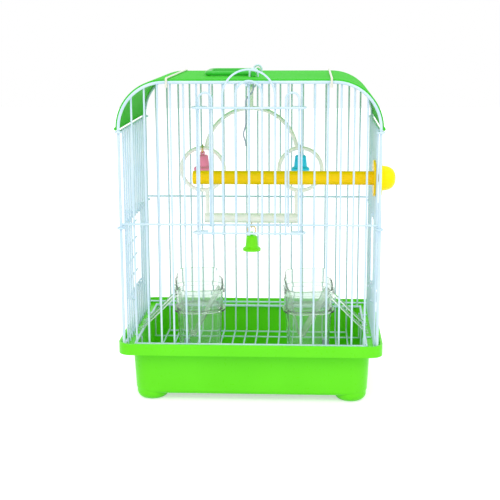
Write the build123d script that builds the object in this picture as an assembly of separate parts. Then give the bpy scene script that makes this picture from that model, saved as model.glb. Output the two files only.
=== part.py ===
"""Small bird cage: a plastic pan on four moulded feet, a cage of welded wire panels with a bent
plastic roof, a lifting front door, two lifting side doors, a clamped perch, a swing with three
bells, and two clear feeders.  Millimetres, +X to the right, +Y to the back, +Z up.  The model is
drawn about the middle of the pan, and moved sideways at the end so that its origin is the middle
of the whole footprint, which the perch nut makes wider on the right."""

import math
import os

from build123d import *

# Pan
pan_width = 220.0
pan_depth = 160.0
pan_wall = 1.8
rim_top = 53.0
ledge_depth = 5.0
rim_height = 9.5
rim_corner = 11.0
basin_inset = 9.7
basin_taper = 2.0
basin_corner = 15.5
basin_edge_round = 4.0
foot_height = 6.0
foot_radius = 13.5
foot_round = 6.0
foot_rise = 14.0
foot_inset = 0.6

# Wires
frame_wire = 2.4
bar_wire = 1.6
rail_wire = 1.8
thin_wire = 1.2
slide_gap = 0.3
eye_gap = 0.3

# Cage
overall_height = 270.0
post_gap = 5.0
post_gap_front = 6.3
side_wire_margin = 6.5
arch_radius = 37.0
front_columns = 20
side_columns = 14
mid_rail_drop = 117.0
mid_rail_height = overall_height - mid_rail_drop
eye_drop = 3.2
bottom_rail_lift = 1.4
eye_below_lip = 0.4

# Roof
roof_wall = 1.1
roof_end_inset = 0.2
strap_bend = 1.3
roof_lip = 1.3
strap_inset = 44.5
strap_wire = 1.8
strap_drop = 4.0

# Front door
door_first_column = 6
door_height = 101.0
door_below_mid_rail = 6.2
door_raised = mid_rail_height - door_below_mid_rail
door_side_inset = 2.0
door_end_reach = 1.0
door_hook_return = 7.0
outer_arch_leg = 9.0
inner_arch_leg = 10.6
small_arch_leg = 6.7

# Door catch
catch_top_x = 3.5
catch_low_x = -2.6
catch_length = 51.0
catch_bow = 2.0
catch_bow_height = 19.0
catch_offset = 3.6
catch_neck = 4.0
catch_slant = 12.0
catch_neck_bend = 0.9

# Side doors
opening_first_column = 4
opening_last_column = 9
side_door_bottom = 80.0
side_door_above_mid_rail = 2.0
side_door_height = mid_rail_height + side_door_above_mid_rail - side_door_bottom
side_door_rungs = 5
side_door_edge = 5.0
sill_lift = 4.5
sill_height = side_door_bottom + sill_lift
inner_hook_gap = 0.5
inner_hook_bend = 1.3

# Carrying handle
handle_reach = 40.0
handle_half_width = 25.0
handle_thickness = 4.0
handle_bend = 8.0
handle_lift = 0.4
stub_length = 13.0
staple_rise = 6.5
staple_wire = 1.8
staple_clearance = 0.4
staple_below_roof = 2.2

# Perch
perch_diameter = 11.4
perch_free_end = 71.0
perch_length = pan_width - perch_free_end
perch_below_top = 82.0
perch_height = overall_height - perch_below_top
perch_column = 2.5
perch_tip_round = 1.2
flange_diameter = 30.0
flange_thickness = 1.6
clamp_gap = 0.15
stud_diameter = 6.0
stud_clearance = 0.08
stud_end_gap = 1.0
nut_dome_radius = 10.3
nut_dome_length = 11.5
nut_wall = 2.0

# Swing
ridge_x = -2.0
swing_hook_major = 4.4
swing_hook_wire = 1.6
swing_rod = 3.4
swing_eye_major = 2.7
swing_eye_rod = 2.4
swing_arch_radius = 39.5
swing_arch_drop = 68.0
swing_arch_height = overall_height - swing_arch_drop
swing_loop_radius = 18.5
swing_loop_spread = 42.5
swing_loop_drop = 81.3
swing_loop_height = overall_height - swing_loop_drop
swing_bar_drop = 124.4
swing_bar_height = overall_height - swing_bar_drop
swing_bar_diameter = 8.6
swing_bar_overhang = 2.5
swing_post_inset = 3.5
post_socket_depth = 3.0

# Bells
bell_height = 13.3
bell_flare_radius = 7.9
bell_flare_height = 2.6
bell_foot_radius = 5.7
bell_crown_radius = 4.8
bell_wall = 1.1
bell_nub_radius = 2.0
bell_nub_height = 3.6
bell_nub_width = 2.4
bell_nub_hole = 0.9
link_wire = 1.1
link_major = 3.5
link_play = 0.3
clapper_radius = 1.8
clapper_wire = 0.9
clapper_gap = 0.3
clapper_clear_of_mouth = 1.0
eyelet_major = 2.0
eyelet_bite = 0.4

# Feeders
feeder_width = 39.5
feeder_depth = 34.0
feeder_wall = 1.5
feeder_corner = 12.0
feeder_from_rim = 62.0
feeder_x = pan_width / 2 - feeder_from_rim
feeder_y = -10.0
feeder_turn = 10.0
feeder_floor_gap = 0.3
feeder_lip_height = 66.0
feeder_lip_out = 2.6
feeder_lip_thickness = 1.6
feeder_foot_taper = 2.0
arm_start_height = 80.0
hood_above_arm = 6.0
hood_front_height = arm_start_height + hood_above_arm
hood_side_rise = 6.0
hood_side_height = hood_front_height + hood_side_rise
hood_back_rise = 7.0
hood_back_height = hood_side_height + hood_back_rise
hood_front_level = 9.0
hood_back_level = 3.0
hood_step = 3.0
hood_band_out = 0.8
hood_band_height = 3.5
hood_out = 1.6
hood_flare = 1.0
hood_seat_depth = 3.0
hood_fit_gap = 0.35
chute_thickness = 1.2
chute_low_point = 43.0
chute_offset = -6.5
chute_below_mouth = 2.0
chute_side_gap = 1.25
chute_half_depth = 8.0
arm_wire = 2.4
arm_spacing = 24.0
arm_gap = 0.3
arm_hook_drop = 3.2
lug_width = 5.2
lug_top = 43.5
lug_bottom = 31.0
lug_depth = 1.8
lug_from_middle = 12.5

# Floor grate
grate_wire = 1.5
grate_edge_wire = 2.2
grate_side_margin = 13.0
grate_half_width = pan_width / 2 - grate_side_margin
grate_end_margin = 14.0
grate_half_depth = pan_depth / 2 - grate_end_margin
grate_floor = 26.7
grate_first_column = 2
grate_row_inset = 24.0
grate_end_row_inset = 6.0
grate_tab_columns = (3.5, 10.5)
grate_tab_margin = 8.0
grate_tab_end = pan_width / 2 - grate_tab_margin

frame_radius = frame_wire / 2
bar_radius = bar_wire / 2
rail_radius = rail_wire / 2

half_width = pan_width / 2 - post_gap
half_depth = pan_depth / 2 - post_gap_front
front_pitch = 2 * half_width / front_columns
side_pitch = (pan_depth - 2 * side_wire_margin) / side_columns
rim_bottom = rim_top - rim_height
ledge_top = rim_top - ledge_depth
basin_half_width = pan_width / 2 - basin_inset
basin_half_depth = pan_depth / 2 - basin_inset

roof_inside_top = overall_height - roof_wall
frame_top = roof_inside_top - frame_radius
arch_centre_height = frame_top - arch_radius
arch_centre_x = half_width - arch_radius
bottom_rail_height = ledge_top + frame_radius + bottom_rail_lift
side_top_rail_height = arch_centre_height - roof_lip - eye_below_lip - rail_radius

bar_offset = frame_radius + bar_radius
rail_offset = bar_offset - bar_radius - rail_radius
front_plane = -half_depth
front_bar_plane = front_plane + bar_offset
front_rail_plane = front_plane + rail_offset

side_bar_plane = half_width - rail_radius - bar_radius
eye_major = frame_radius + eye_gap + rail_radius
eye_outer = eye_major + rail_radius

nut_reach = half_width + rail_radius + clamp_gap + flange_thickness + nut_dome_length
origin_shift = -(nut_reach - pan_width / 2) / 2


def rod(start, end, diameter):
    """A straight round wire between two points."""
    start, end = Vector(start), Vector(end)
    along = end - start
    return Solid.make_cylinder(diameter / 2, along.length, Plane(origin=start, z_dir=along))


def eye(centre, normal, major, diameter):
    """A closed ring of round wire."""
    return Solid.make_torus(major, diameter / 2, Plane(origin=centre, z_dir=normal))


def swept(path, diameter):
    """A round wire swept along a smooth path."""
    wire = Wire(path.edges()) if not isinstance(path, Wire) else path
    section = Plane(origin=wire @ 0, z_dir=wire % 0) * Circle(diameter / 2)
    return sweep(section, path=wire).solid()


def bent_wire(points, diameter, bend):
    """A round wire through points, with the same bend radius at each corner."""
    return swept(FilletPolyline(*points, radius=bend), diameter)


def group(shapes):
    """Separate solids that make one node."""
    solids = []
    for shape in shapes:
        solids += shape.solids()
    return Compound(children=solids)


def column_x(index):
    """Place of an upright of the front and back panels, counted from the left post."""
    return (index - front_columns / 2) * front_pitch


def column_y(index):
    """Place of an upright of a side panel, counted from the front post."""
    return (index - side_columns / 2) * side_pitch


def arch_height(x):
    """Height of the arch's centreline over x."""
    over = abs(x) - arch_centre_x
    if over <= 0:
        return frame_top
    return arch_centre_height + math.sqrt(arch_radius**2 - over**2)


def rounded_slab(width, depth, corner, low, high):
    return Pos(0, 0, low) * extrude(RectangleRounded(width, depth, corner), high - low)


def tapered_tub(width, depth, corner, low, high, taper):
    """A rounded tub that is wider at the top by taper on each side."""
    foot = Pos(0, 0, low) * RectangleRounded(width - 2 * taper, depth - 2 * taper, corner)
    top = Pos(0, 0, high) * RectangleRounded(width, depth, corner)
    return loft([foot, top])


def make_pan():
    """One moulding: a tapered basin, a ledge and an upright rim, and a hollow foot at each corner."""
    basin = tapered_tub(
        2 * basin_half_width, 2 * basin_half_depth, basin_corner,
        foot_height, ledge_top, basin_taper)
    basin = fillet(basin.edges().group_by(Axis.Z)[0], basin_edge_round)
    foot_x = basin_half_width - basin_taper - foot_radius - foot_inset
    foot_y = basin_half_depth - basin_taper - foot_radius - foot_inset
    foot = Cylinder(foot_radius, foot_rise, align=(Align.CENTER, Align.CENTER, Align.MIN))
    foot = fillet(foot.edges().group_by(Axis.Z)[0], foot_round)
    dimple_radius = foot_radius - pan_wall
    dimple = Pos(0, 0, pan_wall) * Cylinder(
        dimple_radius, foot_rise, align=(Align.CENTER, Align.CENTER, Align.MIN))
    dimple = fillet(dimple.edges().group_by(Axis.Z)[0], foot_round - pan_wall)
    places = GridLocations(2 * foot_x, 2 * foot_y, 2, 2)
    outside = basin + [place * foot for place in places]
    flange = rounded_slab(pan_width, pan_depth, rim_corner, rim_bottom, rim_top)
    flange -= rounded_slab(
        pan_width - 2 * pan_wall, pan_depth - 2 * pan_wall, rim_corner - pan_wall,
        rim_bottom - pan_wall, ledge_top - pan_wall)
    outside += flange
    inside = tapered_tub(
        2 * (basin_half_width - pan_wall), 2 * (basin_half_depth - pan_wall), basin_corner - pan_wall,
        foot_height + pan_wall, rim_top + pan_wall, basin_taper)
    inside = fillet(inside.edges().group_by(Axis.Z)[0], basin_edge_round - pan_wall)
    inside += rounded_slab(
        pan_width - 2 * pan_wall, pan_depth - 2 * pan_wall, rim_corner - pan_wall,
        ledge_top, rim_top + pan_wall)
    floor_zone = rounded_slab(
        pan_width, pan_depth, rim_corner, 0, foot_height + pan_wall + basin_edge_round)
    dimples = [(place * dimple) & floor_zone for place in places]
    return (outside - inside - dimples).solid()


def arch_frame(plane_y):
    """The heavy wire of an end panel: two posts and an arched top, bent from one length."""
    top_left = (-arch_centre_x, plane_y, frame_top)
    top_right = (arch_centre_x, plane_y, frame_top)
    slant = arch_radius * math.sqrt(0.5)
    left_knee = (-arch_centre_x - slant, plane_y, arch_centre_height + slant)
    right_knee = (arch_centre_x + slant, plane_y, arch_centre_height + slant)
    left_spring = (-half_width, plane_y, arch_centre_height)
    right_spring = (half_width, plane_y, arch_centre_height)
    left_foot = (-half_width, plane_y, ledge_top)
    right_foot = (half_width, plane_y, ledge_top)
    path = Wire([
        Edge.make_line(left_foot, left_spring),
        Edge.make_three_point_arc(left_spring, left_knee, top_left),
        Edge.make_line(top_left, top_right),
        Edge.make_three_point_arc(top_right, right_knee, right_spring),
        Edge.make_line(right_spring, right_foot),
    ])
    return swept(path, frame_wire)


def end_panel_wires(toward_inside, opening):
    """Uprights and rails of the front panel (toward_inside 1) or back panel (-1)."""
    bars_y = toward_inside * front_bar_plane
    rails_y = toward_inside * front_rail_plane
    wires = []
    for index in range(1, front_columns):
        x = column_x(index)
        inside_door = door_first_column < index < front_columns - door_first_column
        low = mid_rail_height - rail_wire if opening and inside_door else ledge_top
        wires.append(rod((x, bars_y, low), (x, bars_y, arch_height(x)), bar_wire))
    rail_end = half_width - frame_radius
    wires.append(rod((-rail_end, rails_y, mid_rail_height), (rail_end, rails_y, mid_rail_height), rail_wire))
    door_edge = column_x(front_columns - door_first_column) + bar_radius
    spans = [(-rail_end, -door_edge), (door_edge, rail_end)] if opening else [(-rail_end, rail_end)]
    low = bottom_rail_height
    for start, end in spans:
        wires.append(rod((start, rails_y, low), (end, rails_y, low), rail_wire))
    return group(wires)


def side_panel(side):
    """A side panel: uprights, rails, a sill, and the eyes that hold it to the corner posts."""
    rails_x = side * half_width
    bars_x = side * side_bar_plane
    wires = []
    rail_end = half_depth - eye_outer
    hooked = [mid_rail_height - eye_drop, side_top_rail_height]
    for height in [bottom_rail_height] + hooked:
        wires.append(rod((rails_x, -rail_end, height), (rails_x, rail_end, height), rail_wire))
    for height in hooked:
        for end in (-half_depth, half_depth):
            wires.append(eye((rails_x, end, height), (0, 0, 1), eye_major, rail_wire))
    sill_start = column_y(opening_first_column) - bar_radius
    sill_end = column_y(opening_last_column) + bar_radius
    wires.append(rod((rails_x, sill_start, sill_height), (rails_x, sill_end, sill_height), rail_wire))
    top = side_top_rail_height + rail_wire
    for index in range(1, side_columns):
        y = column_y(index)
        spans = [(ledge_top, top)]
        if opening_first_column < index < opening_last_column:
            spans = [(ledge_top, sill_height + rail_radius), (mid_rail_height - eye_drop - rail_radius, top)]
        for low, high in spans:
            wires.append(rod((bars_x, y, low), (bars_x, y, high), bar_wire))
    return group(wires)


def make_roof():
    """A flexible strip bent over both arches, with a rolled lip and holes for the handle staples."""
    inner = arch_radius + frame_radius
    outer = inner + roof_wall
    slant_in = inner * math.sqrt(0.5)
    slant_out = outer * math.sqrt(0.5)
    x, z = arch_centre_x, arch_centre_height
    outline = Wire([
        Edge.make_three_point_arc(
            (-x - outer, 0, z), (-x - slant_out, 0, z + slant_out), (-x, 0, z + outer)),
        Edge.make_line((-x, 0, z + outer), (x, 0, z + outer)),
        Edge.make_three_point_arc((x, 0, z + outer), (x + slant_out, 0, z + slant_out), (x + outer, 0, z)),
        Edge.make_line((x + outer, 0, z), (x + inner, 0, z)),
        Edge.make_three_point_arc((x + inner, 0, z), (x + slant_in, 0, z + slant_in), (x, 0, z + inner)),
        Edge.make_line((x, 0, z + inner), (-x, 0, z + inner)),
        Edge.make_three_point_arc((-x, 0, z + inner), (-x - slant_in, 0, z + slant_in), (-x - inner, 0, z)),
        Edge.make_line((-x - inner, 0, z), (-x - outer, 0, z)),
    ])
    half_length = half_depth - roof_end_inset
    strip = extrude(Face(outline), half_length, dir=(0, 1, 0), both=True)
    lip_x = x + outer
    for side in (-1, 1):
        strip += rod((side * lip_x, -half_length, z), (side * lip_x, half_length, z), 2 * roof_lip)
    for leg_x, leg_y in staple_legs():
        strip -= rod((leg_x, leg_y, roof_inside_top - roof_wall), (leg_x, leg_y, overall_height + roof_wall),
                     staple_wire + 2 * staple_clearance)
    return strip.solid()


def roof_straps():
    """Two wires over the roof, hooked under the arches at the front and back."""
    top = overall_height + strap_wire / 2
    reach = half_depth + frame_radius + strap_wire / 2
    low = frame_top - strap_drop
    straps = []
    for side in (-1, 1):
        x = side * (pan_width / 2 - strap_inset)
        straps.append(bent_wire(
            [(x, -reach, low), (x, -reach, top), (x, reach, top), (x, reach, low)], strap_wire, strap_bend))
    return group(straps)


def ridge_wire():
    """A wire under the roof from arch to arch, which the swing hangs from."""
    height = frame_top - frame_radius - rail_radius
    reach = half_depth + frame_radius
    return rod((ridge_x, -reach, height), (ridge_x, reach, height), rail_wire)


handle_axis_x = 2.0
handle_axis_height = overall_height + handle_lift + handle_thickness / 2
staple_half_span = handle_thickness / 2 + staple_clearance + staple_wire / 2
staple_y = handle_half_width + stub_length - handle_thickness


def staple_legs():
    return [(handle_axis_x + leg * staple_half_span, side * staple_y) for side in (-1, 1) for leg in (-1, 1)]


def carry_handle():
    """A round plastic bail that lies flat on the roof, with a pivot stub turned out at each end."""
    end_y = handle_half_width + stub_length
    grip_x = handle_axis_x - handle_reach
    z = handle_axis_height
    points = [
        (handle_axis_x, -end_y, z), (handle_axis_x, -handle_half_width, z),
        (grip_x, -handle_half_width, z), (grip_x, handle_half_width, z),
        (handle_axis_x, handle_half_width, z), (handle_axis_x, end_y, z)]
    bends = [handle_thickness, handle_bend, handle_bend, handle_thickness]
    return swept(FilletPolyline(*points, radius=bends), handle_thickness)


def handle_staples():
    """Wire staples over the handle's stubs, with their legs through the roof."""
    low = roof_inside_top - staple_below_roof
    top = overall_height + staple_rise
    staples = []
    for side in (-1, 1):
        y = side * staple_y
        left, right = handle_axis_x - staple_half_span, handle_axis_x + staple_half_span
        shoulder = top - staple_half_span
        path = Wire([
            Edge.make_line((left, y, low), (left, y, shoulder)),
            Edge.make_three_point_arc((left, y, shoulder), (handle_axis_x, y, top), (right, y, shoulder)),
            Edge.make_line((right, y, shoulder), (right, y, low)),
        ])
        staples.append(swept(path, staple_wire))
    return group(staples)


door_bar_plane = front_plane - frame_radius - slide_gap - bar_radius
door_rail_plane = door_bar_plane - bar_radius - rail_radius
door_hook_plane = front_bar_plane + bar_radius + slide_gap + rail_radius + 0.3


def door_rail(height):
    """A door rail whose ends hook back round the panel's uprights."""
    edge = column_x(front_columns - door_first_column) - door_side_inset
    turn = edge + door_end_reach
    middle = (door_rail_plane + door_hook_plane) / 2
    radius = (door_hook_plane - door_rail_plane) / 2
    back = turn - door_hook_return
    path = Wire([
        Edge.make_line((-back, door_hook_plane, height), (-turn, door_hook_plane, height)),
        Edge.make_three_point_arc(
            (-turn, door_hook_plane, height), (-turn - radius, middle, height),
            (-turn, door_rail_plane, height)),
        Edge.make_line((-turn, door_rail_plane, height), (turn, door_rail_plane, height)),
        Edge.make_three_point_arc(
            (turn, door_rail_plane, height), (turn + radius, middle, height),
            (turn, door_hook_plane, height)),
        Edge.make_line((turn, door_hook_plane, height), (back, door_hook_plane, height)),
    ])
    return swept(path, rail_wire)


def door_hairpin(first, last, leg, shift=0.0):
    """Two door uprights and the arch between them, bent from one wire."""
    left, right = column_x(first) + shift, column_x(last) + shift
    y = door_bar_plane
    low = door_raised - rail_wire
    spring = door_raised + door_height + leg
    radius = (right - left) / 2
    path = Wire([
        Edge.make_line((left, y, low), (left, y, spring)),
        Edge.make_three_point_arc(
            (left, y, spring), ((left + right) / 2, y, spring + radius), (right, y, spring)),
        Edge.make_line((right, y, spring), (right, y, low)),
    ])
    return swept(path, bar_wire)


def front_door_bars():
    """The door's uprights: four hairpins and one straight wire."""
    first = door_first_column
    middle = front_columns // 2
    last = front_columns - door_first_column
    top = door_raised + door_height + rail_wire
    x = column_x(middle)
    return group([
        door_hairpin(middle - 2, middle + 2, outer_arch_leg),
        door_hairpin(middle - 1, middle + 1, inner_arch_leg),
        door_hairpin(first, first + 1, small_arch_leg, door_side_inset),
        door_hairpin(last - 1, last, small_arch_leg, -door_side_inset),
        rod((x, door_bar_plane, door_raised - rail_wire), (x, door_bar_plane, top), bar_wire),
    ])


def front_door_rails():
    return group([door_rail(door_raised), door_rail(door_raised + door_height)])


def door_catch():
    """A wire finger welded behind the front arch, with a bow that keeps the raised door up."""
    y = front_plane + catch_offset
    wire_radius = thin_wire / 2
    top = frame_top - wire_radius / 2
    low = frame_top - catch_length
    bow_top = low + catch_bow_height
    straight_end = top - catch_neck
    path = Wire([
        Edge.make_line((catch_top_x, y, top - 1), (catch_top_x, y, straight_end)),
        Edge.make_spline(
            [(catch_top_x, y, straight_end), (catch_low_x, y, straight_end - catch_slant)],
            tangents=[(0, 0, -1), (0, 0, -1)]),
        Edge.make_line((catch_low_x, y, straight_end - catch_slant), (catch_low_x, y, bow_top)),
        Edge.make_spline(
            [(catch_low_x, y, bow_top), (catch_low_x - catch_bow, y, (bow_top + low) / 2),
             (catch_low_x, y, low)],
            tangents=[(0, 0, -1), (0, 0, -1)]),
    ])
    finger = swept(path, thin_wire)
    neck = bent_wire(
        [(catch_top_x, front_plane + frame_radius, top), (catch_top_x, y, top),
         (catch_top_x, y, top - catch_neck / 2)],
        thin_wire, catch_neck_bend)
    return (neck + finger).solid()


def side_door(side):
    """A ladder of wire in front of the feeder opening.  Its bottom wire hooks round the outsides of
    the opening's uprights, and its top wire round their insides, so that it clears the perch."""
    rail_x = side * (half_width + rail_radius + slide_gap + rail_radius)
    edge_x = rail_x + side * (rail_radius + bar_radius)
    first = column_y(opening_first_column)
    last = column_y(opening_last_column)
    top = side_door_bottom + side_door_height
    wires = []
    hook_x = side * (side_bar_plane - bar_radius - slide_gap - rail_radius)
    middle = (rail_x + hook_x) / 2
    radius = abs(rail_x - hook_x) / 2
    low = side_door_bottom
    bottom_path = Wire([
        Edge.make_three_point_arc((hook_x, first, low), (middle, first - radius, low), (rail_x, first, low)),
        Edge.make_line((rail_x, first, low), (rail_x, last, low)),
        Edge.make_three_point_arc((rail_x, last, low), (middle, last + radius, low), (hook_x, last, low)),
    ])
    wires.append(swept(bottom_path, rail_wire))
    pass_by = bar_radius + inner_hook_gap + rail_radius
    wires.append(bent_wire(
        [(hook_x, first, top), (hook_x, first + pass_by, top), (rail_x, first + pass_by, top),
         (rail_x, last - pass_by, top), (hook_x, last - pass_by, top), (hook_x, last, top)],
        rail_wire, inner_hook_bend))
    start, end = first + side_door_edge, last - side_door_edge
    for step in range(1, side_door_rungs):
        height = side_door_bottom + side_door_height * step / side_door_rungs
        wires.append(rod((rail_x, start - bar_wire, height), (rail_x, end + bar_wire, height), bar_wire))
    for y in (start, end):
        wires.append(rod((edge_x, y, side_door_bottom - rail_wire), (edge_x, y, top + rail_wire), bar_wire))
    return group(wires)


perch_y = column_y(perch_column)
inner_flange_x = side_bar_plane - bar_radius - clamp_gap
outer_flange_x = half_width + rail_radius + clamp_gap
stud_tip_x = outer_flange_x + flange_thickness + nut_dome_length - nut_wall - stud_end_gap


def perch_rod():
    """The perch, its inner flange and the stud that passes between two uprights, in one moulding."""
    flange_x = inner_flange_x - flange_thickness
    tip_x = flange_x - perch_length
    body = rod((tip_x, perch_y, perch_height), (flange_x, perch_y, perch_height), perch_diameter)
    tip = body.edges().sort_by(Axis.X)[0]
    body = fillet([tip], perch_tip_round)
    body += rod((flange_x, perch_y, perch_height), (inner_flange_x, perch_y, perch_height), flange_diameter)
    body += rod((inner_flange_x, perch_y, perch_height), (stud_tip_x, perch_y, perch_height), stud_diameter)
    return body.solid()


def perch_nut():
    """The domed nut outside the side panel, with its own flange and a blind bore for the stud."""
    start = outer_flange_x
    dome_start = start + flange_thickness
    nut = rod((start, perch_y, perch_height), (dome_start, perch_y, perch_height), flange_diameter)
    middle = (dome_start, perch_y, perch_height)
    shoulder = (dome_start, perch_y, perch_height + nut_dome_radius)
    crown = (dome_start + nut_dome_length, perch_y, perch_height)
    dome_outline = Wire([
        Edge.make_line(middle, shoulder),
        Edge.make_spline([shoulder, crown], tangents=[(1, 0, 0), (0, 0, -1)]),
        Edge.make_line(crown, middle),
    ])
    axis = Axis((0, perch_y, perch_height), (1, 0, 0))
    nut += revolve(Face(dome_outline), axis)
    bore_end = dome_start + nut_dome_length - nut_wall
    nut -= rod((start - 1, perch_y, perch_height), (bore_end, perch_y, perch_height),
               stud_diameter + 2 * stud_clearance)
    return nut.solid()


ridge_height = frame_top - frame_radius - rail_radius
swing_hook_height = ridge_height + rail_radius + link_play + swing_hook_wire / 2 - swing_hook_major
swing_pivot_height = swing_hook_height - swing_hook_major
swing_eye_height = swing_pivot_height + swing_hook_wire / 2 + link_play - swing_eye_major + swing_eye_rod / 2


def swing_hook():
    """The wire ring that hangs on the ridge wire and carries the swing."""
    return eye((ridge_x, 0, swing_hook_height), (0, 1, 0), swing_hook_major, swing_hook_wire)


def swing_frame():
    """One moulding: an eye and neck, an arch, a loop at each end and a post under each loop."""
    z = swing_arch_height
    top = z + swing_arch_radius
    axis_z = swing_eye_height
    neck_top = axis_z - swing_eye_major
    body = rod((ridge_x, 0, top), (ridge_x, 0, neck_top), swing_rod)
    body += eye((ridge_x, 0, axis_z), (1, 0, 0), swing_eye_major, swing_eye_rod)
    # the arch ends where it meets the top of each loop
    distance = math.hypot(swing_loop_spread, swing_loop_height - z)
    along = (swing_arch_radius**2 - swing_loop_radius**2 + distance**2) / (2 * distance)
    aside = math.sqrt(swing_arch_radius**2 - along**2)
    unit_x, unit_z = swing_loop_spread / distance, (swing_loop_height - z) / distance
    meet_x = along * unit_x - aside * unit_z
    meet_z = z + along * unit_z + aside * unit_x
    arc = Edge.make_three_point_arc(
        (ridge_x - meet_x, 0, meet_z), (ridge_x, 0, top), (ridge_x + meet_x, 0, meet_z))
    body += swept(Wire([arc]), swing_rod)
    for side in (-1, 1):
        x = ridge_x + side * swing_loop_spread
        body += eye((x, 0, swing_loop_height), (0, 1, 0), swing_loop_radius, swing_rod)
        post_x = x - side * swing_post_inset
        post_top = swing_loop_height - math.sqrt(swing_loop_radius**2 - swing_post_inset**2)
        post_low = swing_bar_height + swing_bar_diameter / 2 - post_socket_depth
        body += rod((post_x, 0, post_top), (post_x, 0, post_low), swing_rod)
    return body.solid()


def swing_bar():
    """The round bar that the bird sits on, with a socket for each post."""
    spread = swing_loop_spread - swing_post_inset
    reach = spread + swing_bar_overhang
    height = swing_bar_height
    bar = rod((ridge_x - reach, 0, height), (ridge_x + reach, 0, height), swing_bar_diameter)
    bar = chamfer(bar.edges().filter_by(GeomType.CIRCLE), 0.6)
    top = swing_bar_height + swing_bar_diameter / 2
    for side in (-1, 1):
        x = ridge_x + side * spread
        bar -= rod((x, 0, top - post_socket_depth), (x, 0, top + 1), swing_rod)
    return bar.solid()


bar_underside = swing_bar_height - swing_bar_diameter / 2
eyelet_height = bar_underside - eyelet_major - link_wire / 2 + eyelet_bite
hang_points = {
    "left": (ridge_x - swing_loop_spread, swing_loop_height + swing_loop_radius),
    "right": (ridge_x + swing_loop_spread, swing_loop_height + swing_loop_radius),
    "middle": (ridge_x, eyelet_height - eyelet_major),
}


def bell_link(where):
    """The wire ring between the swing and a bell: round the loop, or through the bar's eyelet."""
    x, z = hang_points[where]
    held = swing_rod / 2 if where != "middle" else link_wire / 2
    centre = z + held + link_play + link_wire / 2 - link_major
    normal = (1, 0, 0) if where != "middle" else (0, 1, 0)
    return eye((x, 0, centre), normal, link_major, link_wire), centre - link_major


def bell(where):
    """A moulded bell with a pierced nub, open underneath."""
    x, _ = hang_points[where]
    hole_height = bell_link(where)[1]
    crown = hole_height - bell_nub_height + bell_nub_radius
    low = crown - bell_height
    flare_top = low + bell_flare_height
    inner_crown = crown - bell_wall
    outer = [
        (0, crown), (bell_crown_radius - 1, crown), (bell_crown_radius, crown - 1),
        (bell_foot_radius, flare_top + 1), (bell_flare_radius, flare_top - 0.6), (bell_flare_radius, low),
        (bell_flare_radius - bell_wall, low), (bell_foot_radius - bell_wall, flare_top),
        (bell_crown_radius - bell_wall, inner_crown), (0, inner_crown)]
    outline = Polyline(*[(x + r, 0, z) for r, z in outer], close=True)
    body = revolve(Face(Wire(outline.edges())), Axis((x, 0, 0), (0, 0, 1)))
    middle = Vector(x, 0, hole_height)
    along = Vector(0, 1, 0) if where != "middle" else Vector(1, 0, 0)
    half = along * (bell_nub_width / 2)
    body += rod(middle - half, middle + half, 2 * bell_nub_radius)
    body -= rod(middle - half * 2, middle + half * 2, 2 * bell_nub_hole)
    return body.solid(), inner_crown, low


def clapper(where):
    """The bead and wire inside a bell."""
    x, _ = hang_points[where]
    _, crown, low = bell(where)
    bead = low + clapper_clear_of_mouth + clapper_radius
    body = rod((x, 0, bead), (x, 0, crown - clapper_gap), clapper_wire)
    body += Pos(x, 0, bead) * Sphere(clapper_radius)
    return body.solid()


def eyelet():
    """The screw eye under the swing bar that carries the middle bell."""
    return eye((ridge_x, 0, eyelet_height), (1, 0, 0), eyelet_major, link_wire)


feeder_bottom = grate_floor + grate_wire / 2 + feeder_floor_gap
feeder_seat = feeder_lip_height + feeder_lip_thickness
plug_width = feeder_width - 2 * feeder_wall - 2 * hood_fit_gap
plug_depth = feeder_depth - 2 * feeder_wall - 2 * hood_fit_gap
plug_corner = feeder_corner - feeder_wall - hood_fit_gap
grate_edge_height = ledge_top + grate_edge_wire / 2


def at_feeder(side, shape):
    """Turn a feeder piece and set it at its place on the left (-1) or right (1)."""
    return Pos(side * feeder_x, feeder_y, 0) * Rot(0, 0, feeder_turn) * shape


def cup_outside():
    tub = tapered_tub(
        feeder_width, feeder_depth, feeder_corner, feeder_bottom, feeder_seat, feeder_foot_taper)
    return fillet(tub.edges().group_by(Axis.Z)[0], 3.0)


def feeder_cup(side):
    """The lower cup: a tapered tub with a turned-out lip."""
    lip = rounded_slab(
        feeder_width + 2 * feeder_lip_out, feeder_depth + 2 * feeder_lip_out,
        feeder_corner + feeder_lip_out, feeder_lip_height, feeder_seat)
    hollow = tapered_tub(
        feeder_width - 2 * feeder_wall, feeder_depth - 2 * feeder_wall, feeder_corner - feeder_wall,
        feeder_bottom + feeder_wall, feeder_seat + 0.001, feeder_foot_taper)
    hollow = fillet(hollow.edges().group_by(Axis.Z)[0], 1.5)
    return at_feeder(side, (cup_outside() + lip - hollow).solid())


def feeder_lug(side):
    """A thumb lug on the front of the cup, with a round top."""
    x = side * lug_from_middle
    radius = lug_width / 2
    front = -feeder_depth / 2 - lug_depth
    shoulder = lug_top - radius
    outline = Wire([
        Edge.make_line((x - radius, front, lug_bottom), (x - radius, front, shoulder)),
        Edge.make_three_point_arc(
            (x - radius, front, shoulder), (x, front, lug_top), (x + radius, front, shoulder)),
        Edge.make_line((x + radius, front, shoulder), (x + radius, front, lug_bottom)),
        Edge.make_line((x + radius, front, lug_bottom), (x - radius, front, lug_bottom)),
    ])
    lug = extrude(Face(outline), feeder_depth / 2, dir=(0, 1, 0))
    return at_feeder(side, (lug - cup_outside()).solids().sort_by(Axis.Y)[0])


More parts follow.
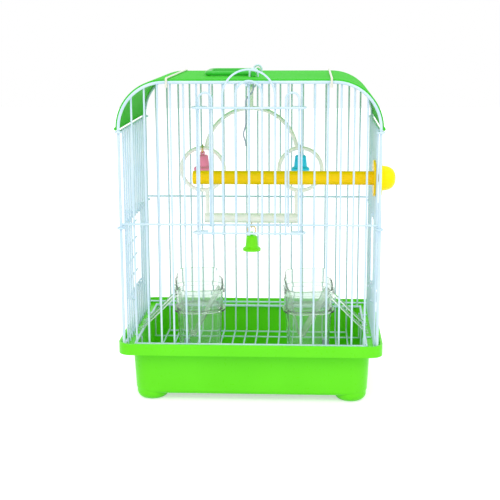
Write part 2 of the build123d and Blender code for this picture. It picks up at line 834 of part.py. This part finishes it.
def feeder_hood(side):
    """The upper hood: it plugs into the cup, has a band round its low mouth and a narrower high back,
    and hangs on the grate by two arms."""
    plug = rounded_slab(
        plug_width, plug_depth, plug_corner, feeder_seat - hood_seat_depth, feeder_seat + feeder_wall)
    bore = rounded_slab(
        plug_width - 2 * feeder_wall, plug_depth - 2 * feeder_wall, plug_corner - feeder_wall,
        feeder_seat - hood_seat_depth - 1, feeder_seat + feeder_wall + 1)
    shell = tapered_tub(
        feeder_width + 2 * hood_out, feeder_depth + 2 * hood_out, feeder_corner + hood_out,
        feeder_seat, hood_back_height, hood_flare)
    cavity = tapered_tub(
        feeder_width + 2 * hood_out - 2 * feeder_wall, feeder_depth + 2 * hood_out - 2 * feeder_wall,
        feeder_corner + hood_out - feeder_wall, feeder_seat + feeder_wall, hood_back_height + 1, hood_flare)
    front = -feeder_depth / 2 - hood_out - 1
    level_end = front + hood_front_level
    back_start = feeder_depth / 2 - hood_back_level
    above = hood_back_height + 2
    outline = Polyline(
        (0, front, hood_front_height), (0, level_end, hood_front_height), (0, 0, hood_side_height),
        (0, back_start - hood_step, hood_side_height), (0, back_start, hood_back_height),
        (0, back_start, above), (0, front, above), close=True)
    slice_off = extrude(Face(Wire(outline.edges())), feeder_width, dir=(1, 0, 0), both=True)
    shell += rounded_slab(
        feeder_width + 2 * hood_out + 2 * hood_band_out, feeder_depth + 2 * hood_out + 2 * hood_band_out,
        feeder_corner + hood_out + hood_band_out, hood_front_height - hood_band_height, hood_front_height)
    hood = at_feeder(side, shell + plug - slice_off)
    for arm_y in (feeder_y - arm_spacing / 2, feeder_y + arm_spacing / 2):
        hood += feeder_arm(side, arm_y)
    return (hood - at_feeder(side, cavity) - at_feeder(side, bore)).solid()


def feeder_arm(side, y):
    """A round arm from the hood's side down to the grate, with a hook over the grate's edge wire."""
    reach = arm_wire / 2 + arm_gap
    root_x = feeder_x + feeder_width / 4
    wall_x = feeder_x + feeder_width / 2
    low = grate_edge_height + grate_edge_wire / 2 + reach
    knee_x = grate_half_width - arm_gap
    slope = (arm_start_height - low) / (knee_x - wall_x)
    root_height = arm_start_height + slope * (wall_x - root_x)
    hook_x = grate_half_width + grate_edge_wire / 2 + reach
    points = [
        (side * root_x, y, root_height), (side * knee_x, y, low), (side * hook_x, y, low),
        (side * hook_x, y, low - arm_hook_drop)]
    return bent_wire(points, arm_wire, arm_wire / 2 + 0.1)


def feeder_chute(side):
    """The trough between the hood's side walls, which leads the seed down into the cup."""
    half = feeder_width / 2 + hood_out - feeder_wall - chute_side_gap
    top = hood_front_height - chute_below_mouth
    depth = chute_half_depth
    edge = chute_thickness * 1.6
    low, x = chute_low_point, chute_offset
    outline = Wire([
        Edge.make_line((-half, depth, top), (x - 3.5, depth, low + 3.0)),
        Edge.make_three_point_arc((x - 3.5, depth, low + 3.0), (x, depth, low), (x + 3.5, depth, low + 3.0)),
        Edge.make_line((x + 3.5, depth, low + 3.0), (half, depth, top)),
        Edge.make_line((half, depth, top), (half - edge, depth, top)),
        Edge.make_line((half - edge, depth, top), (x + 2.4, depth, low + 3.8)),
        Edge.make_three_point_arc(
            (x + 2.4, depth, low + 3.8), (x, depth, low + chute_thickness), (x - 2.4, depth, low + 3.8)),
        Edge.make_line((x - 2.4, depth, low + 3.8), (-half + edge, depth, top)),
        Edge.make_line((-half + edge, depth, top), (-half, depth, top)),
    ])
    return at_feeder(side, extrude(Face(outline), 2 * depth, dir=(0, -1, 0)).solid())


def floor_grate():
    """The wire grate over the litter: an edge frame on the ledge, and a basket of straight wires."""
    z = grate_edge_height
    x, y = grate_half_width, grate_half_depth
    edge_radius, wire_radius = grate_edge_wire / 2, grate_wire / 2
    wires = []
    for side in (-1, 1):
        wires.append(rod((side * x, -y, z), (side * x, y, z), grate_edge_wire))
        end_y = side * (y - edge_radius)
        wires.append(rod((-x + edge_radius, end_y, z), (x - edge_radius, end_y, z), grate_edge_wire))
        for column in grate_tab_columns:
            tab_y, tab_z = column_y(column), ledge_top + wire_radius
            start_x = side * (x + edge_radius)
            wires.append(rod((start_x, tab_y, tab_z), (side * grate_tab_end, tab_y, tab_z), grate_wire))
    reach_y = y - 2 * edge_radius - wire_radius
    for index in range(grate_first_column, front_columns - grate_first_column + 1):
        wire_x = column_x(index)
        wires.append(rod((wire_x, -reach_y - wire_radius, grate_floor),
                         (wire_x, reach_y + wire_radius, grate_floor), grate_wire))
        for end in (-1, 1):
            wires.append(rod((wire_x, end * reach_y, grate_floor + wire_radius),
                             (wire_x, end * reach_y, z), grate_wire))
    reach_x = x - edge_radius - wire_radius
    cross_height = grate_floor - grate_wire
    side_row = grate_half_depth - grate_row_inset
    for row in (-side_row, 0, side_row):
        wires.append(rod((-reach_x - wire_radius, row, cross_height),
                         (reach_x + wire_radius, row, cross_height), grate_wire))
        for side in (-1, 1):
            wires.append(rod((side * reach_x, row, cross_height + wire_radius),
                             (side * reach_x, row, z), grate_wire))
    last_x = column_x(front_columns - grate_first_column) + wire_radius
    for end in (-1, 1):
        row = end * (grate_half_depth - grate_end_row_inset)
        wires.append(rod((-last_x, row, cross_height), (last_x, row, cross_height), grate_wire))
    return group(wires)


def save(name, shape):
    placed = Pos(origin_shift, 0, 0) * shape
    export_step(placed, f"parts/{name}.step")


def main():
    os.makedirs("parts", exist_ok=True)
    save("pan", make_pan())
    save("floor_grate", floor_grate())
    save("front_frame", arch_frame(front_plane))
    save("back_frame", arch_frame(-front_plane))
    save("front_wires", end_panel_wires(1, True))
    save("back_wires", end_panel_wires(-1, False))
    save("left_panel", side_panel(-1))
    save("right_panel", side_panel(1))
    save("roof_cover", make_roof())
    save("roof_straps", roof_straps())
    save("ridge_wire", ridge_wire())
    save("carry_handle", carry_handle())
    save("handle_staples", handle_staples())
    save("front_door_bars", front_door_bars())
    save("front_door_rails", front_door_rails())
    save("door_catch", door_catch())
    save("left_side_door", side_door(-1))
    save("right_side_door", side_door(1))
    save("perch_rod", perch_rod())
    save("perch_nut", perch_nut())
    save("swing_hook", swing_hook())
    save("swing_frame", swing_frame())
    save("swing_bar", swing_bar())
    save("swing_eyelet", eyelet())
    for where in hang_points:
        save(f"{where}_bell", bell(where)[0])
        save(f"{where}_bell_link", bell_link(where)[0])
        save(f"{where}_clapper", clapper(where))
    pieces = {"cup": feeder_cup, "hood": feeder_hood, "chute": feeder_chute, "lug": feeder_lug}
    for name, maker in pieces.items():
        save(f"left_feeder_{name}", maker(-1))
        save(f"right_feeder_{name}", maker(1))


main()
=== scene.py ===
import math

import bmesh
import bpy
from mathutils import Matrix, Vector


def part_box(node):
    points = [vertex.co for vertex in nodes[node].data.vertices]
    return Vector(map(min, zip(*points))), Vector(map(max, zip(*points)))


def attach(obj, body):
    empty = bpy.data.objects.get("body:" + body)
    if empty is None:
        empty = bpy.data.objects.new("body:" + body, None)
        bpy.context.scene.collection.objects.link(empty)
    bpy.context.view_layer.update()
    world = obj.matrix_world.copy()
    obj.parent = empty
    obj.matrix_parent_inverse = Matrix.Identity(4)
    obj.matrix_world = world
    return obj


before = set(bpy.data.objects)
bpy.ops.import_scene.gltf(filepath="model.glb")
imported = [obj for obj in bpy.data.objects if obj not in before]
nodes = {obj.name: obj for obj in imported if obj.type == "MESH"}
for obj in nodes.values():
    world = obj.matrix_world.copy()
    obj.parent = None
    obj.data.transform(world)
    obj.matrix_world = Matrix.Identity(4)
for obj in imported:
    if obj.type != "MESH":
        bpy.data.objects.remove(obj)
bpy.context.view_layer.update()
mm = 0.001


def rgb(*colour):
    return (*colour, 1.0)


# Shader groups that the materials share
def setOrLink(tree, socket, value):
    # a plain number or colour is set on the socket, anything else is linked to it
    if isinstance(value, (int, float, tuple)):
        socket.default_value = value
    else:
        tree.links.new(value, socket)


def newGroup(name, inputs):
    # both groups put out the same three: a colour, a roughness and a height
    group = bpy.data.node_groups.new(name, "ShaderNodeTree")
    for label, value in inputs.items():
        kind = "NodeSocketColor" if isinstance(value, tuple) else "NodeSocketFloat"
        group.interface.new_socket(label, in_out="INPUT", socket_type=kind).default_value = value
    for label, kind in (("Colour", "NodeSocketColor"), ("Roughness", "NodeSocketFloat"),
                        ("Height", "NodeSocketFloat")):
        group.interface.new_socket(label, in_out="OUTPUT", socket_type=kind)
    start, end = group.nodes.new("NodeGroupInput"), group.nodes.new("NodeGroupOutput")
    return group, group.nodes.new("ShaderNodeTexCoord"), start.outputs, end.inputs


def noiseShare(group, coords, scale, detail):
    noise = group.nodes.new("ShaderNodeTexNoise")
    noise.inputs["Detail"].default_value = detail
    group.links.new(coords.outputs["Object"], noise.inputs["Vector"])
    setOrLink(group, noise.inputs["Scale"], scale)
    return noise.outputs["Fac"]


def spread(group, share, low, high):
    # most of a noise lies between 0.3 and 0.7
    node = group.nodes.new("ShaderNodeMapRange")
    for label, value in (("Value", share), ("From Min", 0.3), ("From Max", 0.7), ("To Min", low),
                         ("To Max", high)):
        setOrLink(group, node.inputs[label], value)
    return node.outputs["Result"]


def mixColour(group, share, first, second):
    node = group.nodes.new("ShaderNodeMix")
    node.data_type = "RGBA"
    for label, value in (("Factor", share), ("A", first), ("B", second)):
        setOrLink(group, node.inputs[label], value)
    return node.outputs["Result"]


def relief(group, fine, fineShare, coarse):
    node = group.nodes.new("ShaderNodeMath")
    node.operation = "MULTIPLY_ADD"
    for socket, value in zip(node.inputs, (fine, fineShare, coarse)):
        setOrLink(group, socket, value)
    return node.outputs[0]


mould = {"flowDetail": 4.0, "grainDetail": 2.0, "scuffScale": 420.0, "scuffDetail": 6.0, "grainShare": 0.5}
dip = {"waveDetail": 2.0, "pitDetail": 1.0, "gloss": 0.24, "matt": 0.42, "pitShare": 0.3}


def mouldGroup():
    # soft flow marks, a fine grain and small scuffs of a moulded plastic
    group, coords, start, end = newGroup("mouldedSurface", {
        "Colour": rgb(0.5, 0.5, 0.5), "Deep Colour": rgb(0.4, 0.4, 0.4), "Flow Scale": 30.0,
        "Grain Scale": 1800.0, "Gloss": 0.25, "Matt": 0.4})
    flow = noiseShare(group, coords, start["Flow Scale"], mould["flowDetail"])
    grain = noiseShare(group, coords, start["Grain Scale"], mould["grainDetail"])
    scuff = noiseShare(group, coords, mould["scuffScale"], mould["scuffDetail"])
    colour = mixColour(group, spread(group, flow, 0.0, 1.0), start["Deep Colour"], start["Colour"])
    group.links.new(colour, end["Colour"])
    group.links.new(spread(group, scuff, start["Gloss"], start["Matt"]), end["Roughness"])
    group.links.new(relief(group, grain, mould["grainShare"], flow), end["Height"])
    return group


def coatGroup():
    # a dipped coat on wire: slow thickness waves, tiny pits and a faint change of tint
    group, coords, start, end = newGroup("dippedCoat", {
        "Colour": rgb(0.9, 0.9, 0.9), "Thin Colour": rgb(0.7, 0.8, 0.9), "Wave Scale": 60.0,
        "Pit Scale": 1500.0})
    wave = noiseShare(group, coords, start["Wave Scale"], dip["waveDetail"])
    pits = noiseShare(group, coords, start["Pit Scale"], dip["pitDetail"])
    colour = mixColour(group, spread(group, wave, 0.0, 1.0), start["Thin Colour"], start["Colour"])
    group.links.new(colour, end["Colour"])
    group.links.new(spread(group, pits, dip["gloss"], dip["matt"]), end["Roughness"])
    group.links.new(relief(group, pits, dip["pitShare"], wave), end["Height"])
    return group


groups = {"mould": mouldGroup(), "coat": coatGroup()}
print("shader groups ready")


# Finishes
def newMaterial(name, groupName, values, shader, bump):
    # one Principled shader fed by a shared group, and its own plain values
    material = bpy.data.materials.new(name)
    material.use_nodes = True
    tree = material.node_tree
    principled = tree.nodes["Principled BSDF"]
    for label, value in shader.items():
        principled.inputs[label].default_value = value
    detail = tree.nodes.new("ShaderNodeGroup")
    detail.node_tree = groups[groupName]
    for label, value in values.items():
        detail.inputs[label].default_value = value
    bumps = tree.nodes.new("ShaderNodeBump")
    bumps.inputs["Strength"].default_value = bump
    bumps.inputs["Distance"].default_value = 0.4 * mm
    tree.links.new(detail.outputs["Colour"], principled.inputs["Base Color"])
    tree.links.new(detail.outputs["Roughness"], principled.inputs["Roughness"])
    tree.links.new(detail.outputs["Height"], bumps.inputs["Height"])
    tree.links.new(bumps.outputs["Normal"], principled.inputs["Normal"])
    return material


def plastic(name, colour, deep, gloss=0.26, matt=0.36, coat=0.05, flow=22.0, shine=0.3):
    return newMaterial(name, "mould", {
        "Colour": rgb(*colour), "Deep Colour": rgb(*deep), "Gloss": gloss, "Matt": matt, "Flow Scale": flow,
    }, {"Coat Weight": coat, "Coat Roughness": 0.12, "IOR": 1.5, "Specular IOR Level": shine}, 0.03)


def wireCoat(name, colour, thin):
    return newMaterial(name, "coat", {"Colour": rgb(*colour), "Thin Colour": rgb(*thin)},
                       {"Coat Weight": 0.2, "Coat Roughness": 0.1, "Specular IOR Level": 0.4}, 0.06)


def metalWire(name, colour, thin):
    return newMaterial(name, "coat", {"Colour": rgb(*colour), "Thin Colour": rgb(*thin)},
                       {"Metallic": 1.0}, 0.08)


def clearPlastic(name, tint, deep, clearness, matt=0.09, bend=1.13):
    return newMaterial(name, "mould", {
        "Colour": rgb(*tint), "Deep Colour": rgb(*deep), "Gloss": 0.02, "Matt": matt, "Flow Scale": 45.0,
        "Grain Scale": 500.0,
    }, {"Transmission Weight": clearness, "IOR": bend, "Specular IOR Level": 0.9}, 0.05)


plastics = {
    "pan": {"name": "panGreen", "colour": (0.155, 0.83, 0.016), "deep": (0.14, 0.78, 0.012), "coat": 0.0,
            "shine": 0.18},
    "roof": {"name": "roofGreen", "colour": (0.07, 0.62, 0.045), "deep": (0.06, 0.57, 0.036), "gloss": 0.34,
             "matt": 0.46, "coat": 0.0, "flow": 16.0, "shine": 0.003},
    "handle": {"name": "handleGreen", "colour": (0.05, 0.55, 0.05), "deep": (0.04, 0.47, 0.04)},
    "perch": {"name": "perchYellow", "colour": (1.0, 0.68, 0.0), "deep": (0.98, 0.62, 0.0), "shine": 0.15},
    "nut": {"name": "nutYellow", "colour": (1.0, 0.88, 0.0), "deep": (0.98, 0.82, 0.0), "shine": 0.1},
    "swing": {"name": "swingIvory", "colour": (1.0, 0.995, 0.97), "deep": (0.99, 0.985, 0.945)},
    "pinkBell": {"name": "bellPink", "colour": (1.0, 0.31, 0.50), "deep": (0.98, 0.25, 0.43), "shine": 0.15},
    "blueBell": {"name": "bellBlue", "colour": (0.04, 0.70, 1.0), "deep": (0.03, 0.62, 0.97), "shine": 0.15},
    "greenBell": {"name": "bellGreen", "colour": (0.23, 0.96, 0.01), "deep": (0.20, 0.90, 0.01),
                  "shine": 0.2},
    # the feeder lugs are modelled tabs, but their blue grey is painted shade: the wire's colour in shadow,
    # seen through the cup
    "lug": {"name": "lugPaintedShadeGrey", "colour": (0.33, 0.43, 0.46), "deep": (0.27, 0.36, 0.39)},
}
wireCoats = {
    "wire": {"name": "wireWhite", "colour": (0.70, 0.84, 0.94), "thin": (0.57, 0.77, 0.91)},
    "strap": {"name": "strapCream", "colour": (0.86, 0.85, 0.74), "thin": (0.76, 0.77, 0.66)},
    "catch": {"name": "catchGrey", "colour": (0.42, 0.52, 0.58), "thin": (0.26, 0.34, 0.40)},
}
brass = {"name": "brassWire", "colour": (0.75, 0.55, 0.22), "thin": (0.62, 0.43, 0.16)}
clears = {
    "cup": {"name": "clearCup", "tint": (0.96, 1.0, 0.95), "deep": (0.93, 0.985, 0.92), "clearness": 0.93},
    "hood": {"name": "clearHood", "tint": (0.90, 0.965, 0.93), "deep": (0.85, 0.94, 0.89), "clearness": 0.86,
             "matt": 0.12, "bend": 1.2},
    "chute": {"name": "clearChute", "tint": (0.91, 0.975, 0.92), "deep": (0.86, 0.95, 0.88),
              "clearness": 0.72, "matt": 0.14},
}
materials = {"brass": metalWire(**brass)}
materials.update({key: plastic(**values) for key, values in plastics.items()})
materials.update({key: wireCoat(**values) for key, values in wireCoats.items()})
materials.update({key: clearPlastic(**values) for key, values in clears.items()})

finishes = {
    "pan": ["pan"], "roof": ["roof_cover"], "handle": ["carry_handle"], "perch": ["perch_rod"],
    "nut": ["perch_nut"], "swing": ["swing_frame", "swing_bar"], "pinkBell": ["left_bell"],
    "blueBell": ["right_bell"], "greenBell": ["middle_bell"], "strap": ["roof_straps"],
    "catch": ["door_catch"],
    "wire": ["floor_grate", "front_frame", "back_frame", "front_wires", "back_wires", "left_panel",
             "right_panel", "ridge_wire", "handle_staples", "front_door_bars", "front_door_rails",
             "left_side_door", "right_side_door", "swing_hook"],
    "brass": ["swing_eyelet"] + [side + part for side in ("left", "right", "middle")
                                 for part in ("_bell_link", "_clapper")],
}
for part in ("cup", "hood", "chute", "lug"):
    finishes[part] = [side + "_feeder_" + part for side in ("left", "right")]
for key, names in finishes.items():
    for name in names:
        nodes[name].data.materials.clear()
        nodes[name].data.materials.append(materials[key])
print("finishes placed on", sum(len(names) for names in finishes.values()), "nodes")


# Weld beads where wires cross, instanced on points that come from the frame's boxes
def beadGroup():
    group = bpy.data.node_groups.new("weldBeads", "GeometryNodeTree")
    for label, kind in (("Geometry", "NodeSocketGeometry"), ("Bead Radius", "NodeSocketFloat"),
                        ("Spread", "NodeSocketFloat"), ("Seed", "NodeSocketInt"),
                        ("Finish", "NodeSocketMaterial")):
        group.interface.new_socket(label, in_out="INPUT", socket_type=kind)
    group.interface.new_socket("Geometry", in_out="OUTPUT", socket_type="NodeSocketGeometry")
    start, end = group.nodes.new("NodeGroupInput"), group.nodes.new("NodeGroupOutput")
    ball = group.nodes.new("GeometryNodeMeshIcoSphere")
    ball.inputs["Subdivisions"].default_value = 2
    group.links.new(start.outputs["Bead Radius"], ball.inputs["Radius"])
    random = group.nodes.new("FunctionNodeRandomValue")
    random.data_type = "FLOAT_VECTOR"
    group.links.new(start.outputs["Seed"], random.inputs["Seed"])
    for operation, label in (("SUBTRACT", "Min"), ("ADD", "Max")):
        limit = group.nodes.new("ShaderNodeMath")
        limit.operation = operation
        limit.inputs[0].default_value = 1.0
        group.links.new(start.outputs["Spread"], limit.inputs[1])
        group.links.new(limit.outputs[0], random.inputs[label])
    place = group.nodes.new("GeometryNodeInstanceOnPoints")
    group.links.new(start.outputs["Geometry"], place.inputs["Points"])
    group.links.new(ball.outputs["Mesh"], place.inputs["Instance"])
    group.links.new(random.outputs["Value"], place.inputs["Scale"])
    real = group.nodes.new("GeometryNodeRealizeInstances")
    smooth = group.nodes.new("GeometryNodeSetShadeSmooth")
    finish = group.nodes.new("GeometryNodeSetMaterial")
    group.links.new(place.outputs["Instances"], real.inputs["Geometry"])
    group.links.new(real.outputs["Geometry"], smooth.inputs["Geometry"])
    group.links.new(smooth.outputs["Geometry"], finish.inputs["Geometry"])
    group.links.new(start.outputs["Finish"], finish.inputs["Material"])
    group.links.new(finish.outputs["Geometry"], end.inputs["Geometry"])
    return group


def applyNodes(piece, group, values):
    # runs the node group on an object and keeps the plain mesh
    modifier = piece.modifiers.new("shape", "NODES")
    modifier.node_group = group
    for item in group.interface.items_tree:
        if item.in_out == "INPUT" and item.name in values:
            modifier[item.identifier] = values[item.name]
    bpy.context.view_layer.update()
    made = bpy.data.meshes.new_from_object(piece.evaluated_get(bpy.context.evaluated_depsgraph_get()))
    piece.modifiers.remove(modifier)
    old = piece.data
    piece.data = made
    bpy.data.meshes.remove(old)


bead = {"radius": 0.95 * mm, "spread": 0.18, "cageSeed": 3, "doorSeed": 5}
beads = beadGroup()


def addBeads(name, body, points, seed):
    mesh = bpy.data.meshes.new(name)
    mesh.from_pydata(points, [], [])
    piece = bpy.data.objects.new(name, mesh)
    bpy.context.collection.objects.link(piece)
    applyNodes(piece, beads, {"Bead Radius": bead["radius"], "Spread": bead["spread"], "Seed": seed,
                              "Finish": materials["wire"]})
    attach(piece, body)


# the wires' sizes, the rails' heights, and the columns of bars, counted from the left post
wire = {"frame": 2.4 * mm, "bar": 1.6 * mm, "rail": 1.8 * mm, "frontColumns": 20, "sideColumns": 14,
        "doorColumn": 6, "midRail": 153.0 * mm, "bottomRail": 50.6 * mm, "eyeDrop": 3.2 * mm}
panLow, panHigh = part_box("pan")
panMid = (panLow[0] + panHigh[0]) / 2
frameLow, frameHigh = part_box("front_frame")
pitch = (frameHigh[0] - frameLow[0] - wire["frame"]) / wire["frontColumns"]
columns = [panMid + (index - wire["frontColumns"] / 2) * pitch for index in range(1, wire["frontColumns"])]
rows = [(index - wire["sideColumns"] / 2) * pitch for index in range(1, wire["sideColumns"])]

# front and back walls: the doorway has no bottom rail
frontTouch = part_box("front_wires")[1][1] - wire["bar"]
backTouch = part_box("back_wires")[0][1] + wire["bar"]
doorway = set(columns[wire["doorColumn"]:wire["frontColumns"] - wire["doorColumn"] - 1])
cagePoints = [(x, frontTouch, wire["midRail"]) for x in columns]
cagePoints += [(x, frontTouch, wire["bottomRail"]) for x in columns if x not in doorway]
cagePoints += [(x, backTouch, z) for x in columns for z in (wire["midRail"], wire["bottomRail"])]

# side walls
panelLow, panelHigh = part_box("left_panel")
sideHeights = [wire["bottomRail"], wire["midRail"] - wire["eyeDrop"], panelHigh[2] - wire["rail"]]
sideTouches = [panelHigh[0] - wire["bar"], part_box("right_panel")[0][0] + wire["bar"]]
cagePoints += [(x, y, z) for x in sideTouches for y in rows for z in sideHeights]
addBeads("cageWeldBeads", "cage", cagePoints, bead["cageSeed"])

# the door, where it hangs at rest
barsLow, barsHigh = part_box("front_door_bars")
railsLow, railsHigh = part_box("front_door_rails")
doorHeights = [railsLow[2] + wire["rail"] / 2, railsHigh[2] - wire["rail"] / 2]
doorEdges = [barsLow[0] + wire["bar"] / 2, barsHigh[0] - wire["bar"] / 2]
doorColumns = columns[wire["doorColumn"] + 1:wire["frontColumns"] - wire["doorColumn"] - 2]
doorColumns += doorEdges + [doorEdges[0] + pitch, doorEdges[1] - pitch]
doorPoints = [(x, barsLow[1], z) for x in doorColumns for z in doorHeights]
addBeads("doorWeldBeads", "front_door", doorPoints, bead["doorSeed"])
print("weld beads placed", len(cagePoints) + len(doorPoints))


# Camera, lights and floor
def placeCamera(view):
    yaw, pitchDown, roll = (math.radians(view[key]) for key in ("yaw", "pitch", "roll"))
    ahead = Vector((math.sin(yaw) * math.cos(pitchDown), math.cos(yaw) * math.cos(pitchDown),
                    -math.sin(pitchDown)))
    level = Vector((math.cos(yaw), -math.sin(yaw), 0))
    rise = level.cross(ahead)
    right = math.cos(roll) * level + math.sin(roll) * rise
    up = math.cos(roll) * rise - math.sin(roll) * level
    data = bpy.data.cameras.new("photoCamera")
    data.sensor_width = 36.0
    data.lens = data.sensor_width * view["focalPixels"] / view["imagePixels"]
    data.clip_start = 0.01
    camera = bpy.data.objects.new("photoCamera", data)
    turn = Matrix((right, up, -ahead)).transposed().to_4x4()
    camera.matrix_world = Matrix.Translation(view["place"]) @ turn
    bpy.context.collection.objects.link(camera)
    bpy.context.scene.camera = camera


def addArea(name, light):
    data = bpy.data.lights.new(name, "AREA")
    data.shape = "SQUARE"
    data.size = light["size"]
    data.energy = light["power"]
    lamp = bpy.data.objects.new(name, data)
    lamp.location = light["place"]
    lamp.rotation_euler = (lampAim - lamp.location).to_track_quat("-Z", "Y").to_euler()
    bpy.context.collection.objects.link(lamp)


def seenWhite(tree, lit, shown):
    # camera, glossy and transmission rays see the shown strength, all others the lit one
    path = tree.nodes.new("ShaderNodeLightPath")
    value = path.outputs["Is Camera Ray"]
    for label in ("Is Glossy Ray", "Is Transmission Ray"):
        most = tree.nodes.new("ShaderNodeMath")
        most.operation = "MAXIMUM"
        tree.links.new(value, most.inputs[0])
        tree.links.new(path.outputs[label], most.inputs[1])
        value = most.outputs[0]
    strength = tree.nodes.new("ShaderNodeMapRange")
    strength.inputs["To Min"].default_value = lit
    strength.inputs["To Max"].default_value = shown
    tree.links.new(value, strength.inputs["Value"])
    return strength.outputs["Result"]


def addWorld(values):
    world = bpy.data.worlds.new("studio")
    world.use_nodes = True
    tree = world.node_tree
    background = tree.nodes["Background"]
    background.inputs["Color"].default_value = rgb(1.0, 1.0, 1.0)
    tree.links.new(seenWhite(tree, values["lit"], values["shown"]), background.inputs["Strength"])
    bpy.context.scene.world = world


def addFloor(values):
    grid = bmesh.new()
    bmesh.ops.create_grid(grid, x_segments=8, y_segments=8, size=values["half"])
    mesh = bpy.data.meshes.new("floor")
    grid.to_mesh(mesh)
    grid.free()
    floor = bpy.data.objects.new("floor", mesh)
    bpy.context.collection.objects.link(floor)
    material = bpy.data.materials.new("floorPaper")
    material.use_nodes = True
    tree = material.node_tree
    shader = tree.nodes["Principled BSDF"]
    shader.inputs["Base Color"].default_value = rgb(*values["colour"])
    shader.inputs["Roughness"].default_value = values["roughness"]
    shader.inputs["Specular IOR Level"].default_value = values["shine"]
    shader.inputs["Emission Color"].default_value = rgb(1.0, 1.0, 1.0)
    tree.links.new(seenWhite(tree, 0.0, values["glow"]), shader.inputs["Emission Strength"])
    mesh.materials.append(material)


photoView = {"place": Vector((0.04577, -0.9626, 0.31877)), "yaw": -3.21, "pitch": 11.83, "roll": -0.24,
             "focalPixels": 1115.9, "imagePixels": 500}
worldLight = {"lit": 0.92, "shown": 1.0}
paper = {"half": 3.0, "colour": (0.9, 0.9, 0.9), "roughness": 0.9, "shine": 0.1, "glow": 0.5}
lampAim = Vector((0, 0, 0.14))
lamps = {
    "keyLight": {"place": Vector((-0.75, -1.1, 1.25)), "size": 0.9, "power": 5.5},
    "fillLight": {"place": Vector((1.1, -0.8, 0.8)), "size": 1.0, "power": 3.2},
    "topLight": {"place": Vector((0.1, 0.2, 1.5)), "size": 1.2, "power": 3.0},
}
placeCamera(photoView)
addWorld(worldLight)
addFloor(paper)
for name, light in lamps.items():
    addArea(name, light)
bpy.context.scene.view_settings.view_transform = "Standard"
print("stage ready")
